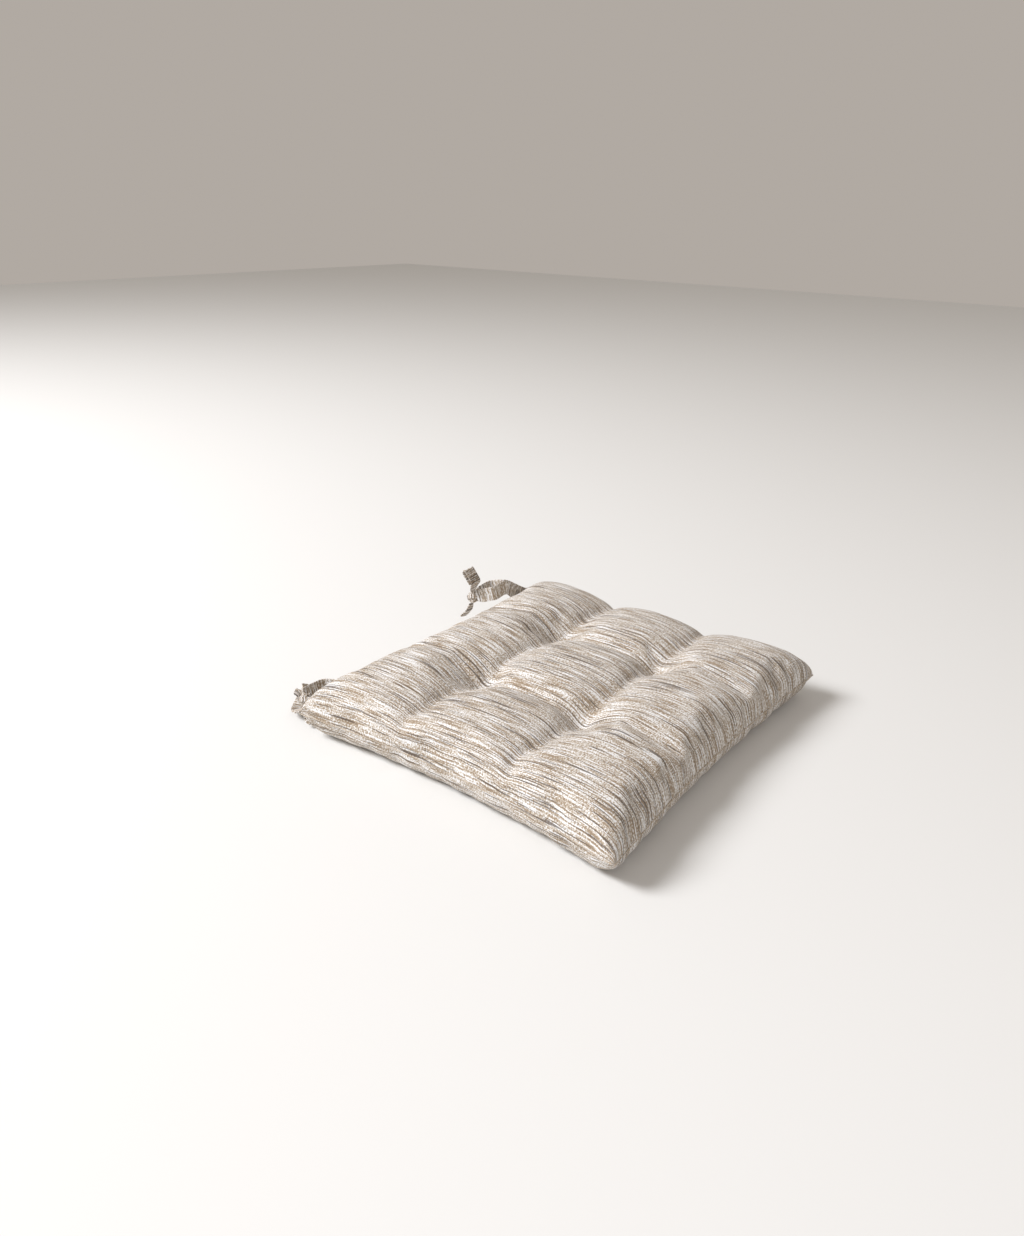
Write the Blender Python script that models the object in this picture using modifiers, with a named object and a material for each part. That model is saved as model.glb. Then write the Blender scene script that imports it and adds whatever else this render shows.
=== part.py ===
"""Tufted seat pad for a wooden dining chair, with two cloth ties at each rear corner.

Lengths are in metres and +Z is up. The front of the pad faces -Y, and left and right are as seen
from the front. The origin is the middle of the flat underside. Each pair of ties is knotted round
a rear chair post, which is left out: the gap that it leaves inside the loop stays open.
"""

import math

import bmesh
import bpy
from mathutils import Vector

# The pad. Its seam is the widest line, low on the side.
PAD_WIDTH = 0.460
PAD_DEPTH = 0.411
SEAM_HEIGHT = 0.028
CROWN_HEIGHT = 0.068
SEAM_BOW = 0.012  # how far the seam bows inwards half way along a side
CORNER_DRAW_IN = 0.004  # how far the tip of a corner is drawn in
UNDERSIDE_CURVE = 0.030  # width of the strip where the underside curves up to the seam
COVER_THICKNESS = 0.0010
GAP = 0.0003  # between pieces that touch

# The tufts, two by two.
TUFT_SPACING_X = 0.153
TUFT_SPACING_Y = 0.136
TUFT_HEIGHT = 0.040  # of the top cover under a stitch
TUFT_REACH = 0.026  # radius of the dimple round a stitch
TUFT_PATCH = 0.004  # half the side of the flat patch under a stitch
VALLEY_DEPTH = 0.009  # of a valley that runs across the pad, through two tufts
VALLEY_ALONG = 0.4  # share of that depth in a valley that runs from front to rear
VALLEY_REACH = 0.015  # half the width of a valley between two pillows
UNDERSIDE_RECESS = 0.006  # how far a tuft lifts the underside
RECESS_REACH = 0.012

# The filling stays clear of the covers by these.
FILLING_INSET = 0.004
FILLING_DROP = 0.0025
FILLING_EDGE = 0.001  # half the height of its side

# Thread
THREAD_RADIUS = 0.0006
STITCH_LENGTH = 0.005
CLOSING_SEAM = 0.160  # length of the opening at the rear that is sewn up after filling

# The ties, and the gap that they leave for a chair post.
TIE_WIDTH = 0.019
TIE_THICKNESS = 0.002
TIE_ROOT_INSET = 0.033  # from the pad's side to the middle of a pair of roots
TIE_ROOT_SPACE = 0.0015  # between the two roots of a pair
ROOT_GAP = 0.0012  # from the seam thread to a tie's root
POST_WIDTH = 0.030
POST_DEPTH = 0.027
POST_SLACK = 0.001  # between a post and a tie
POST_LEAN = math.radians(14)  # backwards, going up
LEFT_POST_PLACE = Vector((0.003, 0.005, -0.001))  # of the post's nearest faces from the roots
RIGHT_POST_PLACE = Vector((0.044, 0.007, 0.026))  # inwards, backwards and up
TIE_BEND = 0.004  # chamfer of a tie at a post's corner
ROOT_RUN = 0.005  # how far a tie runs straight back from the seam, turning from flat to upright
ROOT_PASS = 0.0065  # how much further the outer tie of a pair runs, to pass behind the inner one
ROOT_TURN = Vector((0.006, 0, 0.002))  # of the bend that follows, inwards, back and up
END_GAP = 0.0020  # between a knot and the bow loop or tail that leaves it
KNOT_HALF_WIDTH = 0.0065
KNOT_HALF_DEPTH = 0.0075
KNOT_SHORTNESS = 0.0005  # how much lower half a knot is than half its tie's width
LEFT_KNOT_BACK = 0.002  # from the middle of the post
RIGHT_KNOT_BACK = 0.004  # from the band at the rear of the post
RIGHT_KNOT_DOWN = 0.004
RIGHT_KNOT_SIDE = 0.005  # from the band at the inner side of the post
ACROSS = Vector((1, 0, 0))  # the width of a tie that lies flat
LINE_STEPS = 4  # of a tie's line between two points on it

COVER_COLOUR = (0.62, 0.53, 0.44)
TIE_COLOUR = (0.60, 0.51, 0.41)
FILLING_COLOUR = (0.90, 0.90, 0.88)
THREAD_COLOUR = (0.66, 0.58, 0.49)

HALF_WIDTH = PAD_WIDTH / 2
HALF_DEPTH = PAD_DEPTH / 2
TUFT_X = TUFT_SPACING_X / 2
TUFT_Y = TUFT_SPACING_Y / 2
TIE_ROOT_X = HALF_WIDTH - TIE_ROOT_INSET
TIE_ROOT_PITCH = TIE_WIDTH + TIE_ROOT_SPACE
POST_TO_BAND = POST_SLACK + TIE_THICKNESS / 2  # from a post's face to the middle of a tie on it
KNOT_RADII = Vector((KNOT_HALF_WIDTH, KNOT_HALF_DEPTH, TIE_WIDTH / 2 - KNOT_SHORTNESS))


# ---------------------------------------------------------------- scene and materials


def clear_scene():
    for obj in list(bpy.data.objects):
        bpy.data.objects.remove(obj, do_unlink=True)


def new_collection(name, hidden=False):
    made = bpy.data.collections.new(name)
    bpy.context.scene.collection.children.link(made)
    made.hide_render = hidden
    return made


def cloth_material(name, colour, roughness):
    material = bpy.data.materials.new(name)
    material.use_nodes = True
    shader = material.node_tree.nodes["Principled BSDF"]
    shader.inputs["Base Color"].default_value = (*colour, 1.0)
    shader.inputs["Roughness"].default_value = roughness
    shader.inputs["Metallic"].default_value = 0.0
    return material


def mesh_object(name, bm, material, collection, origin=Vector((0, 0, 0)), parent=None):
    """An object from a bmesh in world coordinates, with its origin at a given place."""
    bmesh.ops.translate(bm, verts=bm.verts, vec=-origin)
    mesh = bpy.data.meshes.new(name)
    bm.to_mesh(mesh)
    bm.free()
    mesh.shade_smooth()
    mesh.set_sharp_from_angle(angle=math.radians(40))
    mesh.materials.append(material)
    obj = bpy.data.objects.new(name, mesh)
    collection.objects.link(obj)
    hang_on(obj, origin, parent)
    return obj


def hang_on(obj, origin, parent):
    """Puts an object's origin in its place, also where a parent empty stands elsewhere."""
    obj.parent = parent
    obj.location = origin - parent.location if parent else origin


def thread_object(name, points, closed, material, collection):
    """A round thread along a line of points."""
    curve = bpy.data.curves.new(name, "CURVE")
    curve.dimensions = "3D"
    curve.bevel_depth = THREAD_RADIUS
    curve.bevel_resolution = 2
    curve.use_fill_caps = True
    spline = curve.splines.new("POLY")
    spline.points.add(len(points) - 1)
    for spot, point in zip(spline.points, points):
        spot.co = (*point, 1.0)
    spline.use_cyclic_u = closed
    curve.materials.append(material)
    obj = bpy.data.objects.new(name, curve)
    collection.objects.link(obj)
    return obj


# ---------------------------------------------------------------- the pad's surfaces


def grid_lines(half, tuft):
    """A panel's grid lines along one side: close together at the tufts and at the seam."""
    bend = 0.8 * TUFT_REACH
    outside = [
        tuft - bend,
        tuft - TUFT_PATCH,
        tuft + TUFT_PATCH,
        tuft + bend,
        (tuft + bend + half) / 2,
        half - 0.65 * UNDERSIDE_CURVE,
        half - 0.25 * UNDERSIDE_CURVE,
        half - GAP,
        half,
    ]
    return [-line for line in reversed(outside)] + [0.0] + outside


def swell(share):
    """The height of a stuffed cover across the pad: full in the middle and upright at the seam."""
    return math.sqrt(max(0.0, 1 - abs(share) ** 6))


def curve_up(share, start):
    """1 where the underside is flat, then a quarter of an ellipse down to 0 at the seam."""
    past = max(0.0, (abs(share) - start) / (1 - start))
    return math.sqrt(max(0.0, 1 - past**2))


def near_tuft(x, y, reach):
    """1 on the patch under a stitch, fading to 0 further away."""
    away = math.hypot(abs(x) - TUFT_X, abs(y) - TUFT_Y) - 1.5 * TUFT_PATCH
    return math.exp(-((2 * max(0.0, away) / reach) ** 1.5))


def valley(x, y):
    """1 in the middle of a valley across the pad and less in one from front to rear, fading beside them."""
    across = math.exp(-(((abs(y) - TUFT_Y) / VALLEY_REACH) ** 2))
    return max(across, VALLEY_ALONG * math.exp(-(((abs(x) - TUFT_X) / VALLEY_REACH) ** 2)))


def in_plan(x, y, half_x, half_y):
    """Bows the sides inwards between the corners and draws the corners' tips in."""
    across, along = x / half_x, y / half_y
    tip = CORNER_DRAW_IN * (across * along) ** 8
    bow_x = SEAM_BOW * (1 - along**2) * across**4
    bow_y = SEAM_BOW * (1 - across**2) * along**4
    return x * (1 - (bow_x + tip) / half_x), y * (1 - (bow_y + tip) / half_y)


def top_point(x, y, inset, drop, edge):
    """A point of the surface that is inset inside the top cover at the seam and drop under it elsewhere."""
    half_x, half_y = HALF_WIDTH - inset, HALF_DEPTH - inset
    rise = swell(x / half_x) * swell(y / half_y)
    dimple = near_tuft(x, y, TUFT_REACH)
    height = SEAM_HEIGHT + edge + (CROWN_HEIGHT - drop - SEAM_HEIGHT - edge) * rise
    height -= (CROWN_HEIGHT - TUFT_HEIGHT) * dimple
    height -= VALLEY_DEPTH * valley(x, y) * rise * (1 - dimple)
    return Vector((*in_plan(x, y, half_x, half_y), height))


def underside_point(x, y, inset, lift, edge):
    """The same for the underside: inset at the seam and lift above it elsewhere."""
    half_x, half_y = HALF_WIDTH - inset, HALF_DEPTH - inset
    flat_x, flat_y = 1 - UNDERSIDE_CURVE / half_x, 1 - UNDERSIDE_CURVE / half_y
    level = curve_up(x / half_x, flat_x) * curve_up(y / half_y, flat_y)
    height = SEAM_HEIGHT - edge + (lift - SEAM_HEIGHT + edge) * level
    height += UNDERSIDE_RECESS * near_tuft(x, y, RECESS_REACH)
    return Vector((*in_plan(x, y, half_x, half_y), height))


def layer(name, upper, lower, material, collection):
    """A closed body between two surfaces of the pad, each given as a function and its inset at the seam."""
    lines = [
        (grid_lines(HALF_WIDTH - inset, TUFT_X), grid_lines(HALF_DEPTH - inset, TUFT_Y))
        for _, inset in (upper, lower)
    ]
    count = len(lines[0][0])
    bm = bmesh.new()
    bmesh.ops.create_grid(bm, x_segments=count - 1, y_segments=count - 1, size=1)
    bmesh.ops.triangulate(bm, faces=bm.faces, quad_method="FIXED")
    top = set(bm.verts)
    bmesh.ops.extrude_face_region(bm, geom=bm.faces)
    for vert in bm.verts:
        column = round((vert.co.x + 1) / 2 * (count - 1))
        row = round((vert.co.y + 1) / 2 * (count - 1))
        which = 0 if vert in top else 1
        surface, _ = (upper, lower)[which]
        vert.co = surface(lines[which][0][column], lines[which][1][row])
    bmesh.ops.recalc_face_normals(bm, faces=bm.faces)
    return mesh_object(name, bm, material, collection)


def cover_layer(name, point, material, collection):
    """A cover panel: the outer surface, and the inner one a cloth's thickness inside it."""
    outer = (lambda x, y: point(x, y, 0, 0, GAP / 2), 0)
    inner = (lambda x, y: point(x, y, COVER_THICKNESS, COVER_THICKNESS, GAP / 2), COVER_THICKNESS)
    return layer(name, outer, inner, material, collection)


def filling_layer(material, collection):
    upper = (
        lambda x, y: top_point(x, y, FILLING_INSET, FILLING_DROP, FILLING_EDGE),
        FILLING_INSET,
    )
    lower = (
        lambda x, y: underside_point(x, y, FILLING_INSET, FILLING_DROP, FILLING_EDGE),
        FILLING_INSET,
    )
    return layer("fibre_filling", upper, lower, material, collection)


# ---------------------------------------------------------------- threads


def seam_loop():
    """The seam thread's line, from the middle of the rear side to the right and once round."""
    out = GAP + THREAD_RADIUS
    half_x, half_y = HALF_WIDTH + out, HALF_DEPTH + out
    xs = [x for x in grid_lines(half_x, TUFT_X) if not 0 < half_x - abs(x) < 2 * GAP]
    ys = [y for y in grid_lines(half_y, TUFT_Y) if not 0 < half_y - abs(y) < 2 * GAP]
    flat = [(x, half_y) for x in xs if x >= 0]
    flat += [(half_x, y) for y in reversed(ys[:-1])]
    flat += [(x, -half_y) for x in reversed(xs[:-1])]
    flat += [(-half_x, y) for y in ys[1:]]
    flat += [(x, half_y) for x in xs[1:] if x < 0]
    return [Vector((*in_plan(x, y, half_x, half_y), SEAM_HEIGHT)) for x, y in flat]


def cut_at(start, end, x):
    """The point at x on the straight line from start to end."""
    return start.lerp(end, (x - start.x) / (end.x - start.x))


def seam_threads(material, collection):
    """The thread round the seam, and the one that closes the rear opening, end to end."""
    loop = seam_loop()
    half = CLOSING_SEAM / 2
    right = next(i for i, point in enumerate(loop) if point.x > half)
    left = len(loop) - next(i for i, point in enumerate(reversed(loop)) if point.x < -half)
    right_end = cut_at(loop[right - 1], loop[right], half)
    left_end = cut_at(loop[left - 1], loop[left], -half)
    closing = [left_end, *loop[left:], *loop[:right], right_end]
    first = cut_at(loop[right - 1], loop[right], half + GAP)
    last = cut_at(loop[left - 1], loop[left], -half - GAP)
    around = [first, *loop[right:left], last]
    thread_object("perimeter_seam_thread", around, False, material, collection)
    thread_object("closing_seam_thread", closing, False, material, collection)


def tuft_places():
    """Each tuft's name and middle."""
    for row, y in (("front", -TUFT_Y), ("rear", TUFT_Y)):
        for side, x in (("left", -TUFT_X), ("right", TUFT_X)):
            yield f"{row}_{side}", x, y


def tuft_thread(name, x, y, material, collection):
    """A tight ring of thread through the pad: one stitch on top, one underneath, two legs between."""
    off = GAP + THREAD_RADIUS
    high = top_point(x, y, 0, 0, GAP / 2).z + off
    low = underside_point(x, y, 0, 0, GAP / 2).z - off
    wide, turn = STITCH_LENGTH / 2, THREAD_RADIUS
    ring = [
        (wide, high - turn),
        (wide - turn, high),
        (turn - wide, high),
        (-wide, high - turn),
        (-wide, low + turn),
        (turn - wide, low),
        (wide - turn, low),
        (wide, low + turn),
    ]
    points = [Vector((x + across, y, z)) for across, z in ring]
    return thread_object(f"tuft_thread_{name}", points, True, material, collection)


def thread_holes(cutters):
    """One cutter that holds every hole that a tuft's thread passes through."""
    bm = bmesh.new()
    for _, x, y in tuft_places():
        for side in (-1, 1):
            made = bmesh.ops.create_cone(
                bm,
                cap_ends=True,
                segments=10,
                radius1=THREAD_RADIUS + GAP,
                radius2=THREAD_RADIUS + GAP,
                depth=2 * CROWN_HEIGHT,
            )
            offset = Vector((x + side * STITCH_LENGTH / 2, y, CROWN_HEIGHT / 2))
            bmesh.ops.translate(bm, verts=made["verts"], vec=offset)
    mesh = bpy.data.meshes.new("thread_holes")
    bm.to_mesh(mesh)
    bm.free()
    obj = bpy.data.objects.new("thread_holes", mesh)
    cutters.objects.link(obj)
    obj.hide_render = True
    obj.display_type = "WIRE"
    return obj


def cut_with(obj, cutter):
    modifier = obj.modifiers.new("thread holes", "BOOLEAN")
    modifier.operation = "DIFFERENCE"
    modifier.solver = "EXACT"
    modifier.object = cutter


# ---------------------------------------------------------------- ties


def post_middle(side, place):
    """The middle of the gap for a post, at half its band's height. Its place is from the tie roots."""
    corner = Vector((side * TIE_ROOT_X, HALF_DEPTH, SEAM_HEIGHT))
    inwards = Vector((-side * (place.x + POST_WIDTH / 2), place.y + POST_DEPTH / 2, place.z))
    return corner + inwards


def at_post(post, x, y, z=0.0):
    """A point beside a post: x across it, y through it square to its lean, z along it."""
    back = Vector((0, math.cos(POST_LEAN), -math.sin(POST_LEAN)))
    return post + Vector((x, 0, 0)) + y * back + z * post_axis()


def post_axis():
    return Vector((0, math.sin(POST_LEAN), math.cos(POST_LEAN)))


def smooth_line(points):
    """A centripetal Catmull-Rom line through the points, which stays close to its corners."""
    ends = [2 * points[0] - points[1], *points, 2 * points[-1] - points[-2]]
    line = []
    for a, b, c, d in zip(ends, ends[1:], ends[2:], ends[3:]):
        at_b = math.sqrt((b - a).length)
        at_c = at_b + math.sqrt((c - b).length)
        at_d = at_c + math.sqrt((d - c).length)
        for step in range(LINE_STEPS):
            share = step / LINE_STEPS
            at = at_b + share * (at_c - at_b)
            near_b = a.lerp(b, at / at_b).lerp(b.lerp(c, share), at / at_c)
            to_d = c.lerp(d, (at - at_c) / (at_d - at_c))
            near_c = b.lerp(c, share).lerp(to_d, (at - at_b) / (at_d - at_b))
            line.append(near_b.lerp(near_c, share))
    return [*line, points[-1].copy()]


def outside_knot(line, knot):
    """The part of a line that comes before the knot's surface, less the gap."""
    radii = KNOT_RADII + Vector((GAP, GAP, GAP)) * 2

    def depth(point):
        away = point - knot
        return Vector((away.x / radii.x, away.y / radii.y, away.z / radii.z)).length

    kept = []
    for point in line:
        if depth(point) < 1:
            inside, outer = point, kept[-1]
            for _ in range(20):
                middle = (inside + outer) / 2
                inside, outer = (middle, outer) if depth(middle) < 1 else (inside, middle)
            return [*kept, outer]
        kept.append(point)
    return kept


def strap(name, line, last_width, material, collection, origin, parent):
    """A flat tie along a line. Its width turns from across the line to another direction at the start."""
    bm = bmesh.new()
    count = len(line)
    bmesh.ops.create_grid(bm, x_segments=count - 1, y_segments=1, size=1)
    for vert in bm.verts:
        index = round((vert.co.x + 1) / 2 * (count - 1))
        along = (line[min(index + 1, count - 1)] - line[max(index - 1, 0)]).normalized()
        width = ACROSS.lerp(last_width, min(1.0, index / LINE_STEPS))
        width = (width - width.dot(along) * along).normalized()
        vert.co = line[index] + (TIE_WIDTH / 2) * width * (1 if vert.co.y > 0 else -1)
    obj = mesh_object(name, bm, material, collection, origin, parent)
    solidify = obj.modifiers.new("cloth thickness", "SOLIDIFY")
    solidify.thickness = TIE_THICKNESS
    solidify.offset = 0
    return obj


def knot_body(name, knot, material, collection, origin, parent):
    bm = bmesh.new()
    bmesh.ops.create_icosphere(bm, subdivisions=2, radius=1)
    bmesh.ops.scale(bm, verts=bm.verts, vec=KNOT_RADII)
    bmesh.ops.translate(bm, verts=bm.verts, vec=knot)
    return mesh_object(name, bm, material, collection, origin, parent)


def hinge_empty(name, place, collection, parent=None):
    empty = bpy.data.objects.new(name, None)
    empty.empty_display_size = 0.02
    collection.objects.link(empty)
    hang_on(empty, place, parent)
    return empty


def round_post(side):
    """Named places beside a post that a tie passes, at its corners and along its faces."""
    x = side * (POST_WIDTH / 2 + POST_TO_BAND)
    y = POST_DEPTH / 2 + POST_TO_BAND
    bend_x, bend_y = side * TIE_BEND, TIE_BEND
    return {
        "outer face, on a slant": (x + bend_x / 2, -y / 3),
        "front, outer end": (x - bend_x, -y),
        "front, inner end": (bend_x - x, -y),
        "inner face, front end": (-x, bend_y - y),
        "inner face, rear end": (-x, y - bend_y),
        "rear, inner end": (bend_x - x, y),
        "rear, outer end": (x - bend_x, y),
        "outer face, rear end": (x, y - bend_y),
    }


def tie_root(side, step):
    """Where a tie leaves the rear seam: step is -0.5 for the inner tie of a pair and 0.5 for the outer."""
    x = side * (TIE_ROOT_X + step * TIE_ROOT_PITCH)
    _, y = in_plan(x + side * TIE_WIDTH / 2, HALF_DEPTH, HALF_WIDTH, HALF_DEPTH)
    return Vector((x, y + 2 * THREAD_RADIUS + ROOT_GAP, SEAM_HEIGHT))


def ties(side_name, side, post, knot_place, routes, ends, material, collection):
    """A pair of ties from the rear seam round a post to a knot, with a bow loop and a tail.

    routes names the places beside the post that the inner and the outer tie pass. ends gives, for
    the bow loop and the tail, where it leaves the knot and the points that it then follows.
    """
    knot = at_post(post, *knot_place)
    beside = round_post(side)
    hinge = Vector((side * TIE_ROOT_X, tie_root(side, 0).y, SEAM_HEIGHT))
    empty = hinge_empty(f"{side_name}_tie_hinge", hinge, collection)
    for tie_name, step, route in zip(("inner", "outer"), (-0.5, 0.5), routes):
        root = tie_root(side, step)
        turn = root + Vector((0, ROOT_RUN + (step + 0.5) * ROOT_PASS, 0))
        points = [root, turn, turn + ROOT_TURN * Vector((-side, 1, 1))]
        points += [at_post(post, *beside[place]) for place in route] + [knot]
        line = outside_knot(smooth_line(points), knot)
        name = f"{side_name}_{tie_name}_tie"
        strap(name, line, post_axis(), material, collection, hinge, empty)
    knot_body(f"{side_name}_knot", knot, material, collection, hinge, empty)
    for end_name, offset, places in ends:
        start = knot + Vector(offset)
        line = smooth_line([start + Vector(place) for place in places])
        name = f"{side_name}_{end_name}"
        strap(name, line, ACROSS, material, collection, start, empty)


def left_ties(material, collection):
    """Knotted low on the outer side of the left post, with the ends tucked in behind and below."""
    post = post_middle(-1, LEFT_POST_PLACE)
    place = (-(POST_WIDTH / 2 + POST_TO_BAND + KNOT_RADII.x), LEFT_KNOT_BACK, 0)
    inner = (
        "front, inner end",
        "inner face, front end",
        "inner face, rear end",
        "rear, inner end",
        "rear, outer end",
        "outer face, rear end",
    )
    bow_loop = (
        (0, 0, 0),
        (0.000, 0.006, -0.005),
        (0.006, 0.017, -0.0075),
        (0.020, 0.026, -0.0075),
        (0.031, 0.029, -0.004),
        (0.027, 0.0325, 0.0005),
        (0.014, 0.0315, 0.0005),
    )
    tail = ((0, 0, 0), (-0.001, -0.003, -0.005), (-0.001, -0.007, -0.009), (0, -0.012, -0.0105))
    ends = (
        ("bow_loop", (-0.001, 0.001, -KNOT_RADII.z - END_GAP), bow_loop),
        ("tail", (-0.001, -0.003, -KNOT_RADII.z - END_GAP), tail),
    )
    ties("left", -1, post, place, (inner, ()), ends, material, collection)


def right_ties(material, collection):
    """Knotted at the inner rear corner of the right post, with a loop standing up and a tail down."""
    post = post_middle(1, RIGHT_POST_PLACE)
    place = (
        -(POST_WIDTH / 2 + POST_TO_BAND + RIGHT_KNOT_SIDE),
        POST_DEPTH / 2 + POST_TO_BAND + RIGHT_KNOT_BACK,
        -RIGHT_KNOT_DOWN,
    )
    inner = ("front, outer end", "front, inner end", "inner face, front end")
    outer = ("outer face, on a slant", "outer face, rear end", "rear, outer end")
    bow_loop = (
        (0, 0, 0),
        (-0.002, -0.004, 0.008),
        (-0.003, -0.007, 0.016),
        (-0.004, -0.001, 0.026),
        (-0.005, 0.0045, 0.0325),
        (-0.004, 0.007, 0.028),
        (-0.003, 0.003, 0.017),
        (-0.002, 0.002, 0.010),
    )
    tail = ((0, 0, 0), (-0.001, 0.002, -0.007), (-0.002, 0.006, -0.013), (-0.004, 0.010, -0.018))
    above_knot = (KNOT_RADII.z + END_GAP) * post_axis() + Vector((-0.001, -0.0047, 0.0003))
    ends = (
        ("bow_loop", above_knot, bow_loop),
        ("tail", (-0.001, 0.002, -KNOT_RADII.z - END_GAP), tail),
    )
    ties("right", 1, post, place, (inner, outer), ends, material, collection)


def main():
    clear_scene()
    pad = new_collection("tufted_seat_pad")
    cutters = new_collection("cutters", hidden=True)
    cover = cloth_material("slub_weave_cover", COVER_COLOUR, 0.9)
    tie_cloth = cloth_material("slub_weave_ties", TIE_COLOUR, 0.9)
    fibre = cloth_material("polyester_fibre", FILLING_COLOUR, 1.0)
    thread = cloth_material("sewing_thread", THREAD_COLOUR, 0.7)

    holes = thread_holes(cutters)
    for obj in (
        cover_layer("top_cover", top_point, cover, pad),
        cover_layer("bottom_cover", underside_point, cover, pad),
        filling_layer(fibre, pad),
    ):
        cut_with(obj, holes)
    seam_threads(thread, pad)
    for name, x, y in tuft_places():
        tuft_thread(name, x, y, thread, pad)
    left_ties(tie_cloth, pad)
    right_ties(tie_cloth, pad)


if __name__ == "__main__":
    main()
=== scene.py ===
"""Tufted chair seat pad in striped slub cloth, with its ties knotted round two chair posts.

The cover starts from a fuller shape than its solids have. A cloth simulation blows it up, and then it
gets the gathers of its seam and the folds round its tufts. Lengths are in metres, unless a name
says otherwise. The front of the pad faces -Y, and left and right are as seen from the front.
"""

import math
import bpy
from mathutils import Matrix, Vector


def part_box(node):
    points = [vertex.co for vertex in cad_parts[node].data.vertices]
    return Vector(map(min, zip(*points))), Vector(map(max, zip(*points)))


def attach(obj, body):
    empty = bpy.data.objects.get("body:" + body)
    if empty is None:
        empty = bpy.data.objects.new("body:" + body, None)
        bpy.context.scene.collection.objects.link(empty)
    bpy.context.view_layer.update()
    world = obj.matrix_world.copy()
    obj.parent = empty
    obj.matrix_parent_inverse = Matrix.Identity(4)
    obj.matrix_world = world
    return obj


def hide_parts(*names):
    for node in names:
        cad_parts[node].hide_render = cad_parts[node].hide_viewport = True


bl_info = {
    "name": "Tufted Seat Pad",
    "version": (1, 0, 0),
    "blender": (4, 5, 0),
    "location": "View3D > Sidebar > Seat Pad",
    "description": "Builds the cloth, stitches and ties of a tufted chair seat pad",
    "category": "Add Mesh",
}

import bmesh
import bpy
import numpy as np
from mathutils import Matrix, Vector, noise

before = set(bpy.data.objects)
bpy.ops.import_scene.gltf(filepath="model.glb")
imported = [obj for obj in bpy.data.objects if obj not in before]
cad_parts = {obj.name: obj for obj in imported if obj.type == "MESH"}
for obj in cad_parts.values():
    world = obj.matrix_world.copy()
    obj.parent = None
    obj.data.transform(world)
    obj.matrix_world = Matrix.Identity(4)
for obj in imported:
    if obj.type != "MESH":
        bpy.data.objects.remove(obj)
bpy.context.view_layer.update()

TOP_LOW, TOP_HIGH = (Vector(corner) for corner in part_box("top_cover"))
THREAD_LOW, THREAD_HIGH = (Vector(corner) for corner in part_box("tuft_thread_front_left"))
SEAM_LOW, SEAM_HIGH = (Vector(corner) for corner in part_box("perimeter_seam_thread"))

# The cover, as its solids have it.
SOLID_CORNER_DRAW_IN = 0.004  # how far the tips of the solids' corners are drawn in
SEAM_HEIGHT = (SEAM_LOW.z + SEAM_HIGH.z) / 2
HALF_WIDTH = TOP_HIGH.x + SOLID_CORNER_DRAW_IN
HALF_DEPTH = TOP_HIGH.y + SOLID_CORNER_DRAW_IN
TUFT_X = -(THREAD_LOW.x + THREAD_HIGH.x) / 2
TUFT_Y = -(THREAD_LOW.y + THREAD_HIGH.y) / 2
TUFT_TOP = 0.040
TUFT_UNDER = 0.006
SEAM_BOW = 0.012  # how far the front and rear sides bow inwards at the seam
UNDERSIDE_CURVE = 0.030  # width of the strip where the underside curves up to the seam
TUFT_REACH = 0.030
TUFT_REACH_UNDER = 0.012
STITCH_PATCH = 0.004  # from a stitch's middle to the end of the flat patch under it

# What the solids leave out, as they are plainer than the cloth.
SIDE_BOW = 0.018  # how far the cloth of the left and right sides bows inwards at the seam
CORNER_DRAW_IN = 0.0015
FULLNESS = 8  # power of the share of half the pad: the higher, the fuller its edges are
THINNER_CORNER = 0.004  # how much lower the pillow in the rear right corner is
FULLER_REAR = 0.005
CREASE_REACHES = (0.027, 0.008)  # a valley is a wide hollow with a crease in it
CREASE_SHARES = (0.6, 0.4)  # of the valley's depth, for the hollow and for the crease
PLUMPNESS = 0.65  # power of the rise to the crown: the lower, the plumper the pillows are
ROOM_TO_SWELL = 0.002  # left under the solids' top for the simulation
CROWDING = 1.35  # power that crowds the mesh's cells towards the seam
FOLD_RING = 0.017  # from a stitch to where its folds are deepest
FOLD_RING_WIDTH = 0.011
GATHER_LENGTHS = (0.007, 0.019)  # of a small and of a large gather, along the seam
GATHER_REACHES = (0.011, 0.030)  # how far gathers run in from the seam
HELD_AT_TUFT = 0.0045  # cloth nearer than this to a stitch doesn't swell
HELD_UNDER = 0.004  # cloth lower than this rests on the seat and doesn't swell
FILLING_SHARES = (0.97, 0.97, 0.80)  # the filling's size as shares of the cover's

# The thread and the knots.
THREAD_RADIUS = 0.0004
HAND_STITCH_PITCH = 0.004
HAND_STITCH_SLANT = 0.0012
HAND_STITCH_RISE = 0.0020
KNOT_WRAP_WIDTH = 0.0042  # half of it, as is the thickness
KNOT_WRAP_THICKNESS = 0.0024
KNOT_CREASE = 0.0004

# Where the ties run, as their solids have it.
TIE_ROOT_X = 0.197
TIE_ROOT_PITCH = 0.0205
TIE_ROOT_SIDE = 0.0095  # half a tie's width: its outer edge sits on the seam
TIE_ROOT_GAP = 0.0012  # between the seam and a tie's start
ROOT_RUN = 0.005
ROOT_PASS = 0.0065
ROOT_TURN = Vector((0.006, 0, 0.002))
POST_X = 0.017  # from a post's middle to the middle of a tie on its side
POST_Y = 0.0155  # the same at its front and rear
POST_LEAN = math.radians(14)
TIE_BEND = 0.004
LEFT_POST = Vector((-0.179, 0.2240, 0.027))
RIGHT_POST = Vector((0.138, 0.2260, 0.054))
LEFT_KNOT = (-0.0235, 0.002, 0)
RIGHT_KNOT = (-0.022, 0.0195, -0.004)
KNOT_RADII = Vector((0.0065, 0.0075, 0.0090))
END_GAP = 0.002
PINCH_REACH = 0.016  # a strip has its full width again this far from where it is gathered
ACROSS = Vector((1, 0, 0))


# ---------------------------------------------------------------- sizes and colours


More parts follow.
